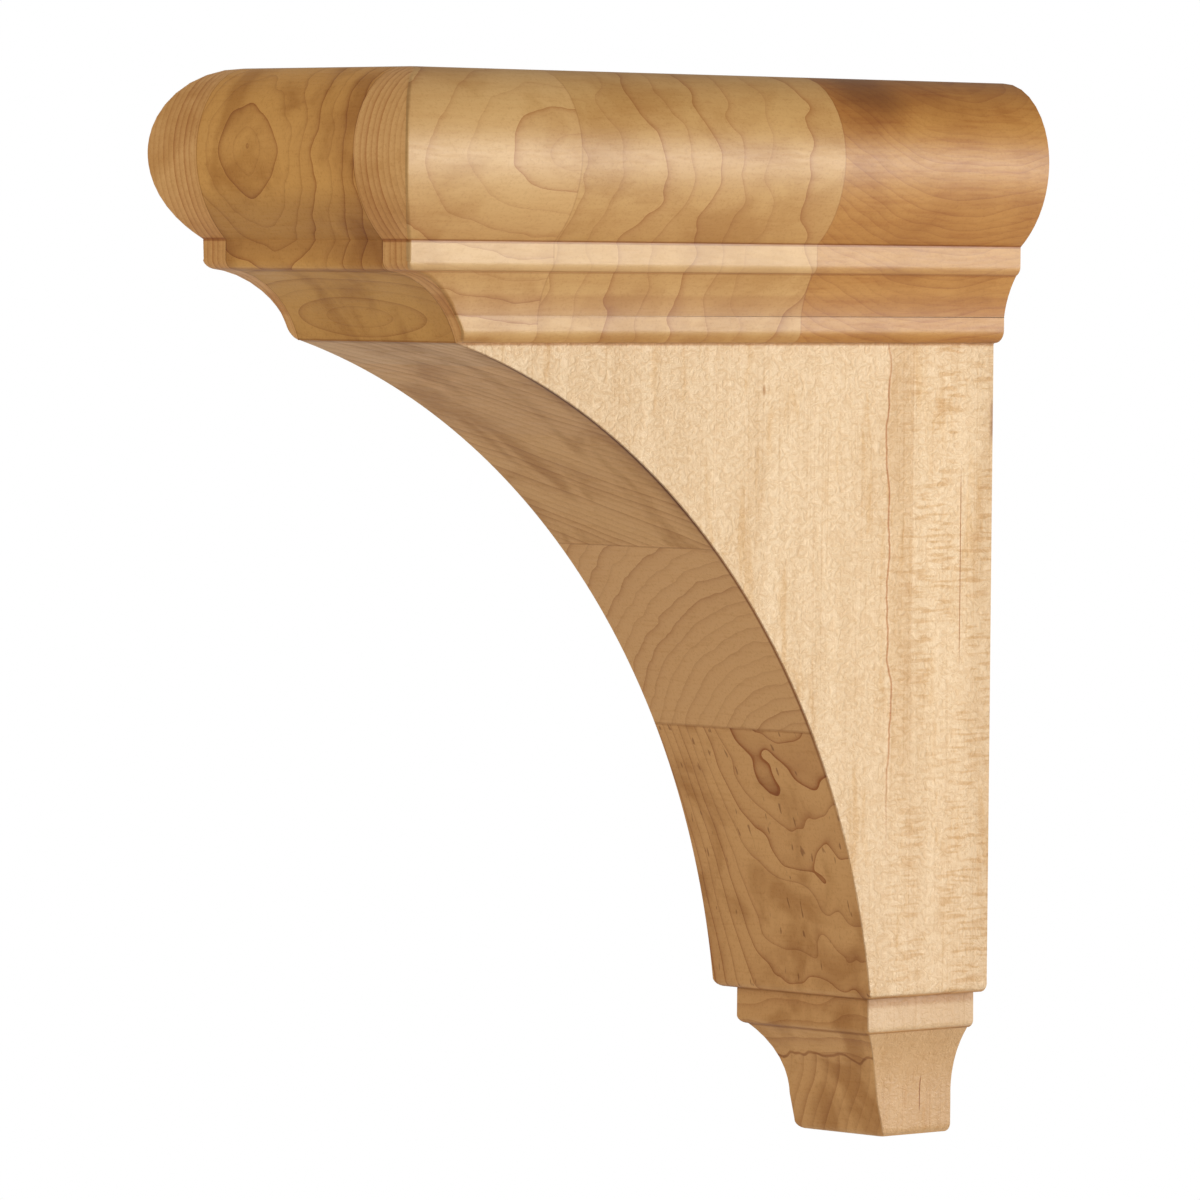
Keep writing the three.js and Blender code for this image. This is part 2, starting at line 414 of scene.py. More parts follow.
# %% Node helper
class Recipe:
    """The node tree of one finish. Its methods add a node and give back its output."""

    def __init__(self, name):
        self.material = bpy.data.materials.new(name)
        self.material.use_nodes = True
        self.tree = self.material.node_tree
        self.shader = self.tree.nodes["Principled BSDF"]
        texture_place = self.add("ShaderNodeTexCoord")
        self.normal = self.split(texture_place.outputs["Normal"])
        self.place = self.vector("SCALE", texture_place.outputs["Object"], scale=1 / MM)
        self.x, y, self.z = self.split(self.place)
        self.depth = self.times(y, -1.0)

    def add(self, kind, inputs=None, **settings):
        made = self.tree.nodes.new(kind)
        for key, value in settings.items():
            setattr(made, key, value)
        for key, value in (inputs or {}).items():
            self.feed(made.inputs[key], value)
        return made

    def feed(self, socket, value):
        if isinstance(value, bpy.types.NodeSocket):
            self.tree.links.new(value, socket)
        elif isinstance(value, tuple) and len(value) == 3 and socket.type == "RGBA":
            socket.default_value = (*value, 1.0)
        else:
            socket.default_value = value

    def math(self, operation, first, second=0.0):
        return self.add("ShaderNodeMath", {0: first, 1: second}, operation=operation).outputs[0]

    def plus(self, first, second):
        return self.math("ADD", first, second)

    def minus(self, first, second):
        return self.math("SUBTRACT", first, second)

    def times(self, first, second):
        return self.math("MULTIPLY", first, second)

    def over(self, first, second):
        return self.math("DIVIDE", first, second)

    def vector(self, operation, first, second=(0.0, 0.0, 0.0), scale=1.0):
        made = self.add("ShaderNodeVectorMath", {0: first, 1: second, 3: scale}, operation=operation)
        return made.outputs[0]

    def split(self, value):
        return self.add("ShaderNodeSeparateXYZ", {0: value}).outputs[:]

    def step(self, value, low, high, start=0.0, end=1.0):
        """A smooth climb from start to end while the value goes from low to high."""
        inputs = {"Value": value, "From Min": low, "From Max": high, "To Min": start, "To Max": end}
        made = self.add("ShaderNodeMapRange", inputs, interpolation_type="SMOOTHSTEP")
        return made.outputs[0]

    def above(self, value, place, soft=0.1):
        return self.step(value, place - soft, place + soft)

    def below(self, value, place, soft=0.1):
        return self.step(value, place - soft, place + soft, 1.0, 0.0)

    def between(self, value, low, high, soft=0.1):
        return self.times(self.above(value, low, soft), self.below(value, high, soft))

    def line(self, value, place, half_width):
        """A thin line where the value passes a place."""
        away = self.math("ABSOLUTE", self.minus(value, place))
        return self.step(away, half_width * 0.3, half_width, 1.0, 0.0)

    def noise(self, scales, offset=(0.0, 0.0, 0.0), detail=3.0, rough=0.5, bend=0.0):
        """Noise with its own scale along each of x, y and z, in blobs per millimetre."""
        spread = self.vector("MULTIPLY", self.place, scales)
        moved = self.vector("ADD", spread, offset)
        inputs = {"Vector": moved, "Scale": 1.0, "Detail": detail, "Roughness": rough}
        made = self.add("ShaderNodeTexNoise", {**inputs, "Distortion": bend})
        return made.outputs["Fac"]

    def centred(self, value, amount):
        """Turns a value around one half into a value around nothing, of this size."""
        return self.times(self.minus(value, 0.5), amount)

    def mix(self, share, first, second, blend="MIX"):
        inputs = {0: share, 6: first, 7: second}
        made = self.add("ShaderNodeMix", inputs, data_type="RGBA", blend_type=blend)
        return made.outputs[2]

    def blend(self, share, first, second):
        inputs = {0: share, 2: first, 3: second}
        return self.add("ShaderNodeMix", inputs, data_type="FLOAT").outputs[0]

    def stain(self, colour, share, tint):
        """Multiplies the colour by a tint where the share is 1."""
        return self.mix(share, colour, tint, "MULTIPLY")


print("node helper ready")

# %% [markdown]
# ## Growth rings
# A growth ring darkens slowly towards its late wood and then stops short, which is why a maple board
# shows fine brown lines with a soft side and a crisp side. A wave texture is even and soft on both
# sides. So each field of rings is a distance, bent by noise, cut into whole rings. The part behind
# the point gives the crisp line, and its square a soft shade before it. A random number for each
# ring makes some lines bold and some faint, and gives each ring a tone of its own.

# %% Rings from a distance
SOFT_SHADE = 0.20
RING_TONE = 0.20
FAINTEST_RING = 0.45
COUNT_FROM = 100.0


def ring_lines(recipe, distance, spacing, sharpness, seed):
    """Darkness from 0 to 1 of the late wood, for rings a spacing apart."""
    count = recipe.plus(recipe.over(distance, spacing), COUNT_FROM + seed)
    part = recipe.math("FRACT", count)
    shade = recipe.times(recipe.times(part, part), SOFT_SHADE)
    line = recipe.plus(recipe.math("POWER", part, sharpness), shade)
    ring_number = recipe.math("FLOOR", count)
    random_number = recipe.add("ShaderNodeTexWhiteNoise", {"W": ring_number}, noise_dimensions="1D")
    luck = random_number.outputs["Value"]
    strength = recipe.step(luck, 0.05, 0.80, FAINTEST_RING, 1.0)
    tone = recipe.times(luck, RING_TONE)
    return recipe.plus(recipe.times(line, strength), tone)


def ring_distance(recipe, across, along, centre, stretch, bends):
    """The distance from a ring centre in a plane, stretched along it and bent by noise."""
    first = recipe.over(recipe.minus(across, centre[0]), stretch[0])
    second = recipe.over(recipe.minus(along, centre[1]), stretch[1])
    squares = recipe.plus(recipe.times(first, first), recipe.times(second, second))
    distance = recipe.math("SQRT", squares)
    for bend in bends:
        distance = recipe.plus(distance, bend)
    return distance


print("ring functions ready")

# %% [markdown]
# ## The body's wood
# The blank is glued up from upright staves, 44 to 45 mm deep, so the flat side shows upright grain
# and the arch shows each stave cut at its own slant. The sides and the back get the pale face
# grain, the top and the underside get end grain, and the arch, the foot and the crown's front get
# the browner cut grain. The direction of a face decides, taken from its own normal, so the change
# follows the eased corner.

# %% Body: colours and masks
STAVE_JOINTS = (37.2, 82.0, 126.0, 170.4, 214.8, 259.0)
LATE_WOOD = (0.50, 0.28, 0.12)
GLUE_TINT = (0.62, 0.50, 0.38)

maple = Recipe("maple body, sanded")
x = maple.x
z = maple.z
depth = maple.depth

faces_sideways = maple.step(maple.math("ABSOLUTE", maple.normal[0]), 0.55, 0.85)
faces_wall = maple.step(maple.normal[1], 0.5, 0.8)
is_side = maple.math("MAXIMUM", faces_sideways, faces_wall)
on_right = maple.step(x, 0.0, 1.0)
is_crown = maple.above(z, level(CROWN_BOTTOM))
not_crown = maple.minus(1.0, is_crown)
is_foot = maple.below(z, level(FOOT_TOP))
not_foot = maple.minus(1.0, is_foot)
faces_up = maple.step(maple.normal[2], 0.98, 0.999)
is_underside = maple.below(z, level(0.2))
shows_end_grain = maple.math("MAXIMUM", faces_up, is_underside)
print("body nodes so far:", len(maple.tree.nodes))

# %% [markdown]
# ### The flat side
# Sanded maple is nearly even from a step away. Close up there are upright streaks, a quilted
# shimmer like orange peel, and short level ray flecks towards the back stave.

# %% Body: figure of the flat side
PALE_FACE = (0.874, 0.682, 0.460)
BROWNER_FACE = (0.812, 0.612, 0.392)
STREAK_TINT = (0.87, 0.80, 0.70)
QUILT_FIGURE_AND_SHADE_TINT = (0.90, 0.84, 0.755)
PATCH_TINT = (0.91, 0.83, 0.70)
FLECK_TINT = (0.86, 0.765, 0.63)
FLECKS_FULL_TO = 20.0
FLECKS_END_AT = 78.0

streaks = maple.noise((0.9, 0.9, 0.012), detail=4.0, rough=0.6)
broad = maple.noise((0.085, 0.085, 0.010), offset=(3.0, 1.0, 7.0), detail=3.0, rough=0.6)
broad_share = maple.step(broad, 0.35, 0.68)
quilt = maple.noise((0.25, 0.30, 0.42), offset=(9.0, 4.0, 2.0), detail=2.6, rough=0.6, bend=1.5)
quilt_depth = maple.blend(is_foot, 0.9, 0.3)
patch = maple.noise((0.05, 0.13, 0.022), offset=(2.0, 2.0, 9.0), detail=3.0, rough=0.6, bend=0.4)
side_colour = maple.mix(broad_share, PALE_FACE, BROWNER_FACE)
side_colour = maple.stain(side_colour, maple.step(streaks, 0.50, 0.74, 0.0, 0.75), STREAK_TINT)
# the quilt's stain is partly its figure and partly painted shade of its bumps
side_colour = maple.stain(side_colour, maple.step(quilt, 0.42, 0.62, 0.0, quilt_depth), QUILT_FIGURE_AND_SHADE_TINT)
side_colour = maple.stain(side_colour, maple.step(patch, 0.54, 0.70, 0.0, 0.9), PATCH_TINT)

fleck_bed = maple.noise((0.3, 0.07, 0.62), offset=(2.0, 6.0, 1.0), detail=1.6, rough=0.6)
fleck_patch = maple.noise((0.03, 0.06, 0.026), offset=(5.0, 5.0, 5.0), detail=1.5)
flecks = maple.times(maple.step(fleck_bed, 0.48, 0.62), maple.step(fleck_patch, 0.40, 0.56))
fleck_zone = maple.step(depth, FLECKS_FULL_TO, FLECKS_END_AT, 1.0, 0.0)
fleck_zone = maple.times(maple.times(fleck_zone, faces_sideways), not_foot)
flecks = maple.times(flecks, fleck_zone)
side_colour = maple.stain(side_colour, flecks, FLECK_TINT)
print("body nodes so far:", len(maple.tree.nodes))

# %% [markdown]
# One wandering ring line runs down the flat side, with browner wood between it and the glue joint
# behind it. The marks of this one bracket are kept: two short checks in line, a small mineral mark
# under the crown, and a dark bruise on the back edge.

# %% Body: marks on the flat side
RING_LINE_DEPTH = 48.1
RING_LINE_LEVELS = (-60.0, 92.0)
RING_LINE_TINT = (0.68, 0.46, 0.32)
HEART_TINT = (0.92, 0.87, 0.80)
CHECK_DEPTH = 14.8
UPPER_CHECK_LEVELS = (-14.0, 44.0)
LOWER_CHECK_LEVELS = (-163.5, -153.0)
CHECK_TINT = (0.58, 0.38, 0.26)
BACK_EDGE_TINT = (0.91, 0.89, 0.86)
BRUISE_LEVELS = (56.0, 68.0)
BRUISE_TINT = (0.45, 0.28, 0.17)
MINERAL_PLACE = (104.9, 72.2)
MINERAL_TINT = (0.66, 0.50, 0.36)

wander = maple.noise((0.02, 0.0, 0.020), offset=(-0.43, 0.0, 4.0), detail=4.5, rough=0.5)
wandering = maple.plus(depth, maple.centred(wander, 21.0))
ring_reach = maple.between(z, *RING_LINE_LEVELS, 26.0)
ring_edge = maple.times(maple.line(wandering, RING_LINE_DEPTH, 0.62), ring_reach)
behind_ring = maple.step(wandering, RING_LINE_DEPTH - 0.5, RING_LINE_DEPTH - 1.7)
before_joint = maple.step(depth, STAVE_JOINTS[0] - 0.3, STAVE_JOINTS[0] + 0.3)
heart_strip = maple.times(maple.times(behind_ring, before_joint), ring_reach)
side_colour = maple.stain(side_colour, ring_edge, RING_LINE_TINT)
side_colour = maple.stain(side_colour, heart_strip, HEART_TINT)

check_up = maple.between(z, *UPPER_CHECK_LEVELS, 8.0)
check_low = maple.between(z, *LOWER_CHECK_LEVELS, 1.5)
check = maple.times(maple.line(depth, CHECK_DEPTH, 0.34), maple.plus(check_up, check_low))
check = maple.times(check, on_right)
side_colour = maple.stain(side_colour, check, CHECK_TINT)

back_edge = maple.times(maple.step(depth, 3.0, 17.0, 1.0, 0.0), faces_sideways)
side_colour = maple.stain(side_colour, back_edge, BACK_EDGE_TINT)
bruise = maple.times(maple.between(z, *BRUISE_LEVELS, 3.0), maple.step(depth, 0.5, 2.4, 0.75, 0.0))
side_colour = maple.stain(side_colour, maple.times(bruise, on_right), BRUISE_TINT)
mineral = ring_distance(maple, depth, z, MINERAL_PLACE, (0.9, 2.2), ())
mineral_share = maple.times(maple.step(mineral, 0.3, 1.1, 0.8, 0.0), on_right)
side_colour = maple.stain(side_colour, mineral_share, MINERAL_TINT)
print("body nodes so far:", len(maple.tree.nodes))

# %% [markdown]
# The picture is darker down the side and in the corners than plain lamps make it, so shade is painted
# into the colour: the foot is a little browner and darker still under its band, a narrow line of
# painted shade runs under the crown and another above the foot, and the side darkens towards the
# bottom.

# %% Body: the flat side's painted shade from top to foot, and its glue lines
FOOT_SHADE_TINT = (0.85, 0.80, 0.74)
SHADE_UNDER_FOOT_BAND_TINT = (0.87, 0.78, 0.65)
LOWER_SIDE_SHADE_TINT = (0.95, 0.935, 0.93)
SHADE_UNDER_CROWN_TINT = (0.62, 0.45, 0.30)
SHADE_ABOVE_FOOT_TINT = (0.74, 0.62, 0.50)
SIDE_GLUE_TINT = (0.80, 0.66, 0.52)
foot_band_bottom = FOOT_BLOCK_HEIGHT + FOOT_COVE_HEIGHT

# painted shade: a dark line under the crown and one above the foot, a browner foot, and a darker cove
# and block under the foot band
shade_under_crown = maple.line(z, level(CROWN_BOTTOM), 1.1)
shade_above_foot = maple.line(z, level(FOOT_TOP) - 1.2, 2.8)
shade_below_foot_band = maple.below(z, level(foot_band_bottom))
painted_shade_tints = (
    (shade_under_crown, SHADE_UNDER_CROWN_TINT),
    (is_foot, FOOT_SHADE_TINT),
    (shade_below_foot_band, SHADE_UNDER_FOOT_BAND_TINT),
    (shade_above_foot, SHADE_ABOVE_FOOT_TINT),
)
for shade_share, shade_tint in painted_shade_tints:
    side_colour = maple.stain(side_colour, maple.times(shade_share, faces_sideways), shade_tint)
# painted shade: the side grows darker towards the bottom
side_colour = maple.stain(side_colour, maple.step(z, -130.0, 10.0, 1.0, 0.0), LOWER_SIDE_SHADE_TINT)
for joint in STAVE_JOINTS:
    glue_line = maple.times(maple.line(depth, joint, 0.28), 0.30)
    side_colour = maple.stain(side_colour, glue_line, SIDE_GLUE_TINT)
print("body nodes so far:", len(maple.tree.nodes))

# %% [markdown]
# ### The arch, the foot and the crown's front
# Each stave has its rings its own way round, so the figure jumps at each glue joint. The deepest
# staves show fine slanting lines, the next one bows like an opened fan, and the back stave, cut
# nearly along its grain, shows long wandering lines with small dark pits.

# %% Body: figure of each stave
FAN_CENTRE = (45.0, -98.0)
FLOW_TOP = (36.0, 148.0)
FLOW_STRETCH = 4.3
FLOW_POWER = 6.0

slow_noise = maple.noise((0.02, 0.012, 0.02), offset=(1.0, 2.0, 3.0), detail=2.0)
slow_bend = maple.centred(slow_noise, 14.0)
fine_noise = maple.noise((0.09, 0.05, 0.09), offset=(4.0, 1.0, 3.0), detail=2.0)
fine_bend = maple.centred(fine_noise, 3.0)
wild_noise = maple.noise((0.042, 0.015, 0.042), offset=(6.0, 2.0, 8.0), detail=1.4, bend=0.3)
wild_bend = maple.times(maple.centred(wild_noise, 12.5), maple.step(x, -26.0, 16.0, 0.18, 1.0))

slant = maple.plus(z, maple.times(x, 0.35))
slant = maple.plus(slant, maple.times(slow_bend, 0.5))
slant_lines = ring_lines(maple, slant, 2.5, 3.0, 0.0)

fan_bends = (maple.times(slow_bend, 0.4), fine_bend)
fan = ring_distance(maple, x, z, FAN_CENTRE, (1.0, 1.0), fan_bends)
fan_lines = ring_lines(maple, fan, 4.3, 6.0, 3.0)

flow_across = maple.math("ABSOLUTE", maple.minus(x, FLOW_TOP[0]))
flow_down = maple.over(maple.minus(FLOW_TOP[1], z), FLOW_STRETCH)
flow = maple.plus(
    maple.math("POWER", flow_across, FLOW_POWER), maple.math("POWER", flow_down, FLOW_POWER))
flow = maple.plus(maple.math("POWER", flow, 1 / FLOW_POWER), wild_bend)
flow_lines = ring_lines(maple, flow, 3.3, 12.0, 5.0)

in_flow_stave = maple.below(depth, STAVE_JOINTS[1])
in_fan_stave = maple.between(depth, STAVE_JOINTS[1], STAVE_JOINTS[2])
arch_lines = maple.times(slant_lines, 0.42)
arch_lines = maple.blend(in_fan_stave, arch_lines, maple.times(fan_lines, 0.44))
arch_lines = maple.blend(in_flow_stave, arch_lines, maple.times(flow_lines, 1.15))
print("body nodes so far:", len(maple.tree.nodes))

# %% Body: figure of the foot and the crown
FOOT_JOINT_LEVEL = -146.0
LOOPS_CENTRE = (-12.5, 147.5)
COVE_LOOPS_CENTRE = (-4.0, 95.0)

foot_slant = maple.minus(maple.times(x, 0.9), maple.times(z, 0.5))
foot_slant = maple.plus(foot_slant, maple.times(slow_bend, 0.8))
block_lines = maple.times(ring_lines(maple, foot_slant, 4.6, 3.0, 2.0), 0.55)
level_rings = maple.plus(maple.plus(z, maple.times(slow_bend, 2.2)), fine_bend)
level_lines = maple.times(ring_lines(maple, level_rings, 7.4, 4.0, 6.0), 0.5)
jagged = maple.noise((0.08, 0.0, 0.0), offset=(5.0, 1.0, 1.0), detail=1.6, rough=0.6)
uneven_level = maple.plus(z, maple.centred(jagged, 12.0))
block_share = maple.step(uneven_level, FOOT_JOINT_LEVEL - 0.8, FOOT_JOINT_LEVEL + 0.2, 1.0, 0.0)
foot_lines = maple.times(maple.blend(block_share, level_lines, block_lines), 0.7)
block_edge = maple.line(uneven_level, FOOT_JOINT_LEVEL, 0.7)

loop_noise = maple.noise((0.048, 0.02, 0.05), offset=(7.0, 7.0, 1.0), detail=1.6)
small_bend = maple.times(fine_bend, 0.4)
loop_bends = (maple.centred(loop_noise, 14.0), small_bend)
loops = ring_distance(maple, x, z, LOOPS_CENTRE, (1.0, 1.3), loop_bends)
loop_lines = maple.times(ring_lines(maple, loops, 6.2, 11.0, 1.0), 0.66)
cove_bends = (maple.times(slow_bend, 0.25),)
cove_loops = ring_distance(maple, x, z, COVE_LOOPS_CENTRE, (5.2, 1.0), cove_bends)
cove_lines = maple.times(ring_lines(maple, cove_loops, 3.0, 7.0, 4.0), 0.4)
above_cove = maple.above(z, level(COVE_TOP), 0.3)
crown_lines = maple.blend(above_cove, cove_lines, loop_lines)

front_lines = maple.blend(is_foot, arch_lines, foot_lines)
front_lines = maple.blend(is_crown, front_lines, crown_lines)
print("body nodes so far:", len(maple.tree.nodes))

# %% [markdown]
# The tone of each stave on the arch is a colour ramp by depth, without blending between its colours,
# because the joint is a hard line.

# %% Body: tones of the fronts
STAVE_TONES = (
    (0.0, (0.765, 0.450, 0.186)),
    (STAVE_JOINTS[1], (0.810, 0.502, 0.236)),
    (STAVE_JOINTS[2], (0.760, 0.468, 0.212)),
    (STAVE_JOINTS[3], (0.740, 0.455, 0.215)),
    (STAVE_JOINTS[4], (0.730, 0.475, 0.255)),
)
RAMP_SPAN = 300.0
CROWN_COVE_TONE = (0.700, 0.396, 0.114)
CROWN_ROLL_TONE = (0.830, 0.475, 0.140)
CLOUD_TINT = (0.73, 0.63, 0.49)
FOOT_JOINT_TINT = (0.56, 0.40, 0.27)
BODY_CREASE_SHADE_TINT = (0.55, 0.40, 0.27)
SPECKLE_TINT = (0.89, 0.84, 0.77)
FIBRE_TINT = (0.84, 0.78, 0.70)

tone_ramp = maple.add("ShaderNodeValToRGB", {0: maple.over(depth, RAMP_SPAN)})
tone_ramp.color_ramp.interpolation = "CONSTANT"
while len(tone_ramp.color_ramp.elements) < len(STAVE_TONES):
    tone_ramp.color_ramp.elements.new(1.0)
for element, (start, colour) in zip(tone_ramp.color_ramp.elements, STAVE_TONES):
    element.position = start / RAMP_SPAN
    element.color = (*colour, 1.0)

crown_colour = maple.mix(above_cove, CROWN_COVE_TONE, CROWN_ROLL_TONE)
front_colour = maple.mix(is_crown, tone_ramp.outputs["Color"], crown_colour)
cloud = maple.noise((0.05, 0.02, 0.045), offset=(8.0, 3.0, 5.0), detail=3.0, bend=0.6)
cloud_share = maple.blend(in_fan_stave, maple.step(cloud, 0.42, 0.68), 0.2)
front_colour = maple.stain(front_colour, cloud_share, CLOUD_TINT)
front_colour = maple.stain(front_colour, front_lines, LATE_WOOD)
front_colour = maple.stain(front_colour, maple.times(block_edge, 0.8), FOOT_JOINT_TINT)
# painted shade: dark lines in the creases at the foot's top and band, under the crown and under the
# crown's band
for height in (FOOT_TOP, foot_band_bottom, CROWN_BOTTOM, COVE_TOP):
    body_crease_shade = maple.times(maple.line(z, level(height), 0.8), 0.7)
    front_colour = maple.stain(front_colour, body_crease_shade, BODY_CREASE_SHADE_TINT)

speckle = maple.noise((1.3, 1.3, 0.8), offset=(2.0, 5.0, 5.0), detail=2.0, rough=0.7)
front_colour = maple.stain(front_colour, maple.step(speckle, 0.50, 0.68, 0.0, 0.8), SPECKLE_TINT)
fibre = maple.noise((0.10, 0.5, 1.1), offset=(1.0, 8.0, 2.0), detail=4.0, rough=0.65)
front_colour = maple.stain(front_colour, maple.step(fibre, 0.50, 0.74, 0.0, 0.45), FIBRE_TINT)
print("body nodes so far:", len(maple.tree.nodes))

# %% [markdown]
# Cutters scorch maple a little, so the wood browns towards the arch's right corner where the cutter
# lingered. The pits of the back stave, the shade under the roll and the glue joints come last.

# %% Body: scorch, pits and glue joints on the fronts
SCORCH_DEPTHS = (128.0, 214.0)
SCORCH_TINT = (0.52, 0.40, 0.29)
ARRIS_DEPTHS = (74.0, 228.0)
ARRIS_TINT = (0.46, 0.30, 0.18)
PIT_TINT = (0.42, 0.28, 0.20)
UNDER_ROLL_LEVELS = (113.0, 132.0)
UNDER_ROLL_TINT = (0.77, 0.72, 0.68)
CROWN_EDGE_TINT = (0.78, 0.68, 0.56)
BOARD_GLUE_TINT = (0.62, 0.48, 0.36)

near_right_corner = maple.plus(
    maple.step(x, 27.0, 36.0, 0.0, 0.4), maple.step(x, 34.2, 36.0, 0.0, 0.6))
scorch = maple.times(near_right_corner, maple.between(depth, *SCORCH_DEPTHS, 18.0))
front_colour = maple.stain(front_colour, scorch, SCORCH_TINT)
arris = maple.times(maple.step(x, 34.9, 35.8), maple.between(depth, *ARRIS_DEPTHS, 14.0))
front_colour = maple.stain(front_colour, arris, ARRIS_TINT)

pit_bed = maple.noise((0.55, 0.3, 0.12), offset=(3.0, 9.0, 6.0), detail=1.0)
pits = maple.times(maple.times(maple.step(pit_bed, 0.69, 0.75), in_flow_stave), not_foot)
front_colour = maple.stain(front_colour, maple.times(pits, 0.7), PIT_TINT)

under_roll = maple.times(maple.between(z, *UNDER_ROLL_LEVELS, 5.0), is_crown)
front_colour = maple.stain(front_colour, under_roll, UNDER_ROLL_TINT)
crown_edge = maple.times(maple.step(x, 24.0, 31.0), is_crown)
front_colour = maple.stain(front_colour, maple.times(crown_edge, 0.4), CROWN_EDGE_TINT)
board_joint = maple.step(
    maple.math("ABSOLUTE", x), BODY_HALF_WIDTH - 0.6, BODY_HALF_WIDTH - 0.1)
board_joint = maple.times(board_joint, maple.times(is_crown, 0.7))
front_colour = maple.stain(front_colour, board_joint, BOARD_GLUE_TINT)
bent_depth = maple.plus(depth, maple.times(fine_bend, 0.15))
for joint in STAVE_JOINTS[1:3]:
    glue_line = maple.times(maple.line(bent_depth, joint, 0.40), 0.55)
    front_colour = maple.stain(front_colour, maple.times(glue_line, not_crown), GLUE_TINT)
print("body nodes so far:", len(maple.tree.nodes))

# %% [markdown]
# The grain of the staves runs upright, so the top and the underside cut straight across it. There
# each stave shows short dull arcs of its rings, and the glue joints are plain to see.

# %% Body: end grain on the top and the underside
STAVE_DEPTH = 44.36
ARCS_CENTRE = (8.0, -52.0)
END_GRAIN = (0.640, 0.425, 0.225)
BROWNER_END_GRAIN = (0.590, 0.380, 0.190)
PORE_TINT = (0.86, 0.80, 0.72)
END_GLUE_TINT = (0.60, 0.46, 0.34)

stave_place = maple.over(maple.minus(depth, STAVE_JOINTS[0]), STAVE_DEPTH)
along_stave = maple.times(maple.math("FRACT", stave_place), STAVE_DEPTH)
end_arcs = ring_distance(maple, x, along_stave, ARCS_CENTRE, (1.0, 1.0), (small_bend,))
end_arc_lines = maple.times(ring_lines(maple, end_arcs, 3.3, 3.0, 9.0), 0.34)
end_colour = maple.mix(broad_share, END_GRAIN, BROWNER_END_GRAIN)
end_colour = maple.stain(end_colour, end_arc_lines, LATE_WOOD)
end_colour = maple.stain(end_colour, maple.step(speckle, 0.46, 0.66), PORE_TINT)
for joint in STAVE_JOINTS:
    glue_line = maple.times(maple.line(depth, joint, 0.35), 0.6)
    end_colour = maple.stain(end_colour, glue_line, END_GLUE_TINT)
print("body nodes so far:", len(maple.tree.nodes))

# %% [markdown]
# The faces meet in one colour, and the same masks give the surface: raised and sunken grain in a
# bump, and a roughness a little lower on the dense late wood.

# %% Body: shader
WOOD_IOR = 1.46
GRAIN_HEIGHT = 0.4 * MM
QUILT_RELIEF = 15.0
STREAK_RELIEF = 1.2

body_colour = maple.mix(is_side, front_colour, side_colour)
body_colour = maple.mix(shows_end_grain, body_colour, end_colour)
front_relief = maple.plus(fibre, maple.times(front_lines, -0.6))
quilt_relief = maple.times(quilt, maple.times(quilt_depth, QUILT_RELIEF))
side_relief = maple.plus(quilt_relief, maple.times(streaks, STREAK_RELIEF))
relief = maple.blend(is_side, front_relief, side_relief)
relief = maple.minus(relief, maple.times(check, 1.5))


def finish_wood(wood, colour, relief, strength, roughness):
    """Joins the colour, the grain's relief and the roughness to the shader."""
    inputs = {"Height": relief, "Strength": strength, "Distance": GRAIN_HEIGHT}
    bump = wood.add("ShaderNodeBump", inputs)
    wood.feed(wood.shader.inputs["Base Color"], colour)
    wood.feed(wood.shader.inputs["Normal"], bump.outputs["Normal"])
    wood.feed(wood.shader.inputs["Roughness"], roughness)
    wood.shader.inputs["IOR"].default_value = WOOD_IOR


finish_wood(maple, body_colour, relief, 0.30, maple.step(fibre, 0.3, 0.7, 0.42, 0.54))
body.data.materials.append(maple.material)
print("body finish:", len(maple.tree.nodes), "nodes")

# %% [markdown]
# ## The moulding boards' wood
# Each board is glued up from three lengths end to end, so the roll has three figures: loops cut off
# by the first joint, wavy upright lines, and a browner length with fine bowed lines and a stain. The
# front end of a board shows its edge: thin upright lines close together. The drift moves the figure,
# so that the two boards aren't twins.

# %% Moulding: figure of the three lengths
LAST_JOINT = 93.1
FIRST_JOINT = 207.8


def moulding_masks(wood):
    """Where the board shows its front or back end, its first length and its last length."""
    turned_end = wood.math("ABSOLUTE", wood.normal[1])
    shows_side = wood.step(wood.math("ABSOLUTE", wood.normal[0]), 0.25, 0.45)
    near_front = wood.step(wood.depth, 225.0, 232.0)
    near_wall = wood.step(wood.depth, 0.1, 0.4, 1.0, 0.0)
    near_an_end = wood.plus(near_front, near_wall)
    shows_end = wood.times(wood.step(turned_end, 0.02, 0.08), near_an_end)
    shows_end = wood.times(shows_end, wood.minus(1.0, shows_side))
    first_length = wood.step(wood.depth, FIRST_JOINT - 0.2, FIRST_JOINT + 0.1)
    last_length = wood.step(wood.depth, LAST_JOINT - 0.1, LAST_JOINT + 0.2, 1.0, 0.0)
    return shows_end, first_length, last_length


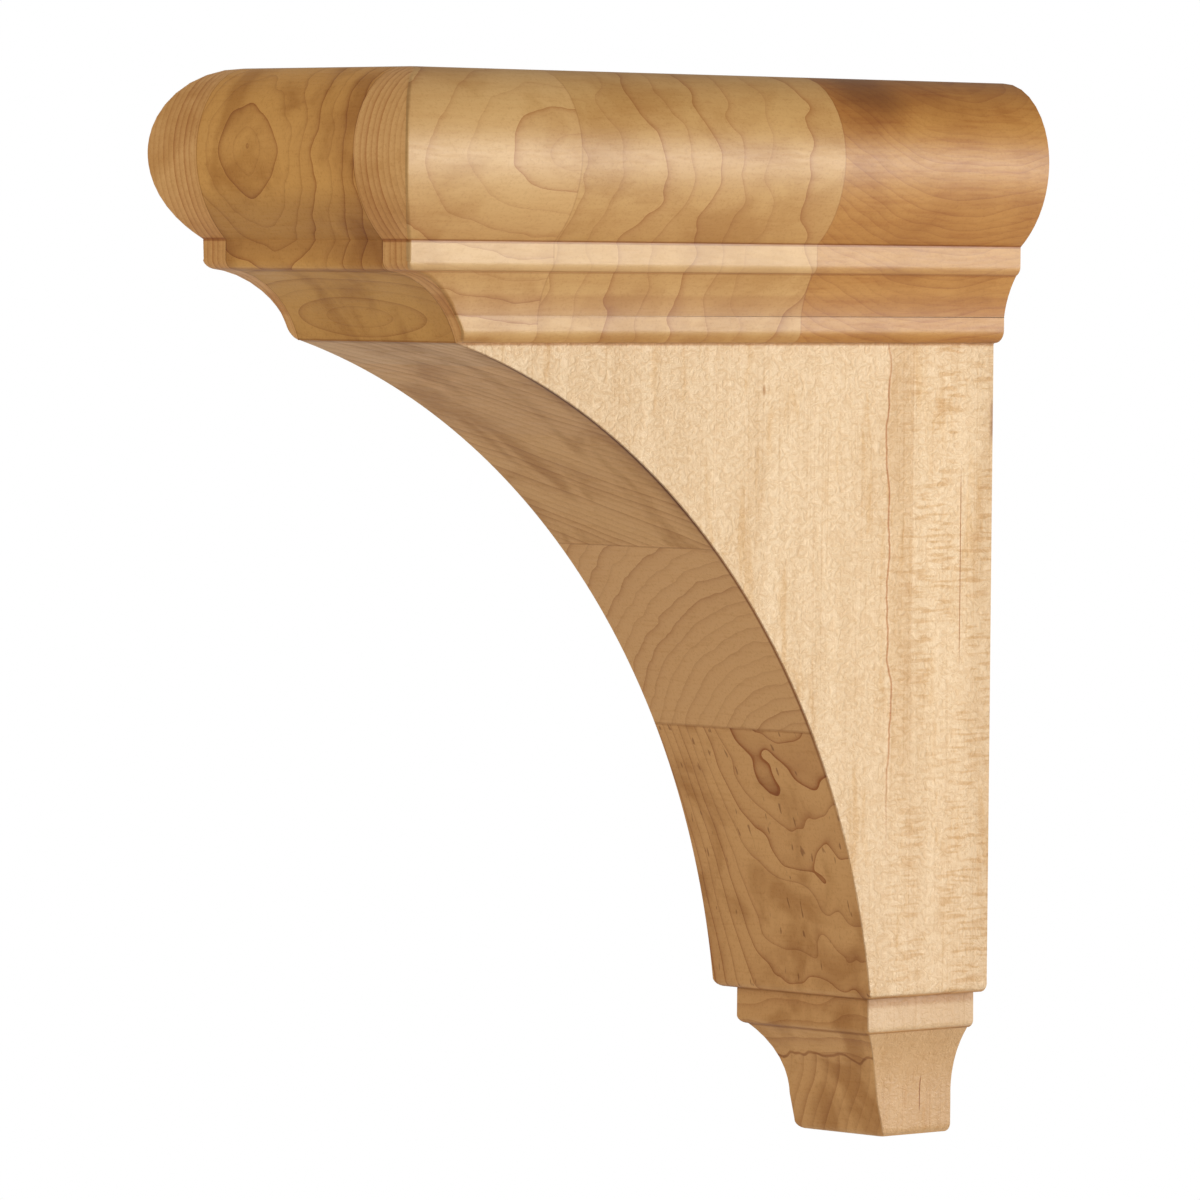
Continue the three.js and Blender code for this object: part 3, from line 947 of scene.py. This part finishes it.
def moulding_lines(wood, drift, slow, fine, masks):
    shows_end, first_length, last_length = masks
    loop_bends = (wood.times(slow, 0.20), wood.times(fine, 0.5))
    loops = ring_distance(wood, wood.depth, wood.z, (208.0 + drift, 146.0), (2.5, 1.0), loop_bends)
    loop_lines = ring_lines(wood, loops, 6.6, 12.0, 1.0)
    waves = wood.plus(wood.plus(wood.depth, slow), wood.times(fine, 0.6))
    wave_lines = ring_lines(wood, waves, 15.0, 13.0, 7.0 + drift)
    bow_bends = (wood.times(slow, 0.3),)
    bows = ring_distance(wood, wood.depth, wood.z, (30.0, 205.0 + drift), (1.0, 0.8), bow_bends)
    bow_lines = wood.times(ring_lines(wood, bows, 3.2, 3.5, 4.0), 0.6)
    lines = wood.blend(first_length, wave_lines, loop_lines)
    lines = wood.blend(last_length, lines, bow_lines)

    end_noise = wood.noise((0.03, 0.03, 0.02), offset=(drift, 1.0, 1.0), detail=2.0)
    from_middle = wood.plus(wood.math("ABSOLUTE", wood.x), wood.centred(end_noise, 3.0))
    end_lines = ring_lines(wood, from_middle, 2.5, 3.0, 0.0)
    return wood.blend(shows_end, wood.times(lines, 0.48), wood.times(end_lines, 0.55))


print("lengths between joints at", LAST_JOINT, "and", FIRST_JOINT)

# %% Moulding: tones, marks and painted light and shade
FIRST_TONE = (0.682, 0.444, 0.188)
MIDDLE_TONE = (0.622, 0.388, 0.148)
LAST_TONE = (0.540, 0.278, 0.068)
END_TONE = (0.900, 0.565, 0.236)
LIT_BAND_TONE = (0.820, 0.620, 0.360)
BOARD_LATE_WOOD = (0.52, 0.24, 0.04)
BOARD_CLOUD_TINT = (0.84, 0.76, 0.63)
SHADE_ON_DOWNWARD_FACES_TINT = (0.90, 0.82, 0.73)
BOARD_SPECKLE_TINT = (0.90, 0.85, 0.78)
BOARD_FIBRE_TINT = (0.86, 0.79, 0.70)
BOARD_STREAK_TINT = (0.84, 0.70, 0.54)
STAIN_PLACE = (74.0, 168.0)
STAIN_TINT = (0.50, 0.40, 0.28)
SMOKY_TINT = (0.72, 0.58, 0.42)
COVE_LOW_TINT = (0.89, 0.81, 0.72)
LENGTH_GLUE_TINT = (0.66, 0.50, 0.36)
BOARD_CREASE_SHADE_TINT = (0.60, 0.42, 0.27)
bead_top = CROWN_BOTTOM + BEAD_HEIGHT
SHADED_CREASES = ((BAND_TOP, 0.8, 0.95), (COVE_TOP, 0.6, 0.55), (bead_top, 1.0, 0.18))


def moulding_tones_and_shade(wood, drift, fibre, lines, masks):
    shows_end, first_length, last_length = masks
    colour = wood.mix(first_length, MIDDLE_TONE, FIRST_TONE)
    colour = wood.mix(last_length, colour, LAST_TONE)
    colour = wood.mix(shows_end, colour, END_TONE)
    cloud = wood.noise((0.03, 0.03, 0.05), offset=(4.0, drift, 8.0), detail=4.0, rough=0.55, bend=0.5)
    colour = wood.stain(colour, wood.step(cloud, 0.42, 0.68), BOARD_CLOUD_TINT)
    colour = wood.stain(colour, lines, BOARD_LATE_WOOD)
    # painted shade: faces that turn downwards are darker
    colour = wood.stain(colour, wood.step(wood.normal[2], -0.10, -0.80), SHADE_ON_DOWNWARD_FACES_TINT)
    speckle = wood.noise((1.3, 0.8, 1.3), offset=(drift, 5.0, 5.0), detail=2.0, rough=0.7)
    colour = wood.stain(colour, wood.step(speckle, 0.50, 0.68, 0.0, 0.8), BOARD_SPECKLE_TINT)
    colour = wood.stain(colour, wood.step(fibre, 0.48, 0.74, 0.0, 0.4), BOARD_FIBRE_TINT)
    streak = wood.noise((0.5, 0.035, 0.55), offset=(drift, 3.0, 6.0), detail=3.0, rough=0.6)
    streak_share = wood.times(wood.step(streak, 0.45, 0.7), wood.blend(last_length, 0.2, 0.65))
    return wood.stain(colour, streak_share, BOARD_STREAK_TINT)


def moulding_marks_and_painted_light(wood, colour, slow, fine, masks):
    shows_end, _, last_length = masks
    stain_bends = (wood.times(fine, 0.06),)
    stain_rings = ring_distance(wood, wood.depth, wood.z, STAIN_PLACE, (19.0, 11.0), stain_bends)
    stain_share = wood.times(wood.step(stain_rings, 0.2, 1.1, 0.75, 0.0), last_length)
    colour = wood.stain(colour, stain_share, STAIN_TINT)
    smoky = wood.times(wood.step(wood.plus(wood.z, slow), 146.0, 166.0), last_length)
    colour = wood.stain(colour, wood.times(smoky, 0.8), SMOKY_TINT)
    cove_low = wood.between(wood.z, level(bead_top), level(bead_top) + 6.5, 0.8)
    colour = wood.stain(colour, cove_low, COVE_LOW_TINT)
    # painted light: the upright band under the roll is mixed towards a paler tone, for the light it
    # catches
    lit_band = wood.between(wood.z, level(COVE_TOP), level(BAND_TOP), 0.3)
    lit_band = wood.times(lit_band, wood.minus(1.0, shows_end))
    lit_band = wood.times(lit_band, wood.blend(last_length, 0.26, 0.13))
    colour = wood.mix(lit_band, colour, LIT_BAND_TONE)
    wobble = wood.plus(wood.depth, wood.times(fine, 0.08))
    for joint in (LAST_JOINT, FIRST_JOINT):
        glue_line = wood.times(wood.line(wobble, joint, 0.45), 0.4)
        colour = wood.stain(colour, glue_line, LENGTH_GLUE_TINT)
    # painted shade: dark lines in the creases under the roll, under the band and above the bead
    for height, half_width, share in SHADED_CREASES:
        board_crease_shade = wood.times(wood.line(wood.z, level(height), half_width), share)
        colour = wood.stain(colour, board_crease_shade, BOARD_CREASE_SHADE_TINT)
    return colour


print("stain on the last length at", STAIN_PLACE)


# %% Moulding: the two finishes
def make_moulding_wood(name, drift):
    wood = Recipe(name)
    masks = moulding_masks(wood)
    slow_noise = wood.noise((0.01, 0.022, 0.035), offset=(drift, 2.0, 5.0), detail=2.0)
    slow = wood.centred(slow_noise, 42.0)
    fine_noise = wood.noise((0.02, 0.07, 0.08), offset=(2.0, drift, 3.0), detail=2.0, rough=0.6)
    fine = wood.centred(fine_noise, 5.0)
    fibre = wood.noise((0.5, 0.12, 1.0), offset=(drift, 8.0, 2.0), detail=4.0, rough=0.65)
    lines = moulding_lines(wood, drift, slow, fine, masks)
    colour = moulding_tones_and_shade(wood, drift, fibre, lines, masks)
    colour = moulding_marks_and_painted_light(wood, colour, slow, fine, masks)
    relief = wood.plus(fibre, wood.times(lines, -0.3))
    finish_wood(wood, colour, relief, 0.07, wood.step(fibre, 0.3, 0.7, 0.39, 0.44))
    return wood


right_wood = make_moulding_wood("maple crown moulding, right", 0.0)
left_wood = make_moulding_wood("maple crown moulding, left", 2.7)
right_moulding.data.materials.append(right_wood.material)
left_moulding.data.materials.append(left_wood.material)
print("moulding finish:", len(right_wood.tree.nodes), "nodes")

# %% [markdown]
# ## Floor and light
# The bracket was lit like a catalogue picture. A big soft light on the right, behind the plane of the
# wall, fills the flat side and puts a bright band on the roll. A weak one in front keeps the arch
# readable, and a third keeps the far side out of the dark. The backdrop is pure white, but the world
# is white only where the camera looks straight at it, and greyer as a light, so that the shapes keep
# their shade.

# %% Floor
FLOOR_LEVEL = -0.46
FLOOR_RADIUS = 1.9
FLOOR_SIDES = 96
FLOOR_CENTRE = (0.0, -0.14, FLOOR_LEVEL)
FLOOR_TONE = (0.87, 0.89, 0.91, 1.0)
FLOOR_ROUGHNESS = 0.7
floor_mesh = bmesh.new()
bmesh.ops.create_circle(floor_mesh, cap_ends=True, segments=FLOOR_SIDES, radius=FLOOR_RADIUS)
bmesh.ops.translate(floor_mesh, verts=floor_mesh.verts[:], vec=FLOOR_CENTRE)
floor = bpy.data.objects.new("floor", bpy.data.meshes.new("floor"))
floor_mesh.to_mesh(floor.data)
floor_mesh.free()
bpy.context.collection.objects.link(floor)
floor_paint = bpy.data.materials.new("pale floor")
floor_paint.use_nodes = True
floor_shader = floor_paint.node_tree.nodes["Principled BSDF"]
floor_shader.inputs["Base Color"].default_value = FLOOR_TONE
floor_shader.inputs["Roughness"].default_value = FLOOR_ROUGHNESS
floor.data.materials.append(floor_paint)
print("floor at", FLOOR_LEVEL)


# %% Lights
def add_soft_light(name, place, aim, size, watts, tint):
    light = bpy.data.objects.new(name, bpy.data.lights.new(name, "AREA"))
    bpy.context.collection.objects.link(light)
    light.data.shape = "DISK"
    light.data.size = size
    light.data.energy = watts
    light.data.color = tint
    light.location = place
    towards = Vector(aim) - Vector(place)
    light.rotation_mode = "QUATERNION"
    light.rotation_quaternion = towards.to_track_quat("-Z", "Y")
    return light


BRACKET_MIDDLE = (0.0, -0.14, 0.0)
LIGHTS = (
    ("key from the right", (1.60, 1.20, 0.10), 1.0, 29.5, (1.0, 0.98, 0.94)),
    ("fill from the front", (-0.7, -2.0, 0.5), 1.4, 6.0, (1.0, 0.84, 0.63)),
    ("weak light on the left", (-2.0, 0.6, 0.3), 1.2, 9.0, (1.0, 0.95, 0.88)),
)
for light_name, place, size, watts, light_tint in LIGHTS:
    add_soft_light(light_name, place, BRACKET_MIDDLE, size, watts, light_tint)

WORLD_FILL = 0.40
WARM_FILL = (1.0, 0.86, 0.70, 1.0)
WHITE = (1.0, 1.0, 1.0, 1.0)
world = bpy.data.worlds.new("studio")
world.use_nodes = True
bpy.context.scene.world = world
world_nodes = world.node_tree.nodes
world_links = world.node_tree.links
backdrop = world_nodes["Background"]
looks_at_it = world_nodes.new("ShaderNodeLightPath")
strength = world_nodes.new("ShaderNodeMapRange")
strength.inputs["To Min"].default_value = WORLD_FILL
strength.inputs["To Max"].default_value = 1.0
world_links.new(looks_at_it.outputs["Is Camera Ray"], strength.inputs["Value"])
world_links.new(strength.outputs["Result"], backdrop.inputs["Strength"])
tint = world_nodes.new("ShaderNodeMix")
tint.data_type = "RGBA"
tint.inputs[6].default_value = WARM_FILL
tint.inputs[7].default_value = WHITE
world_links.new(looks_at_it.outputs["Is Camera Ray"], tint.inputs[0])
world_links.new(tint.outputs[2], backdrop.inputs["Color"])
print("lights ready")
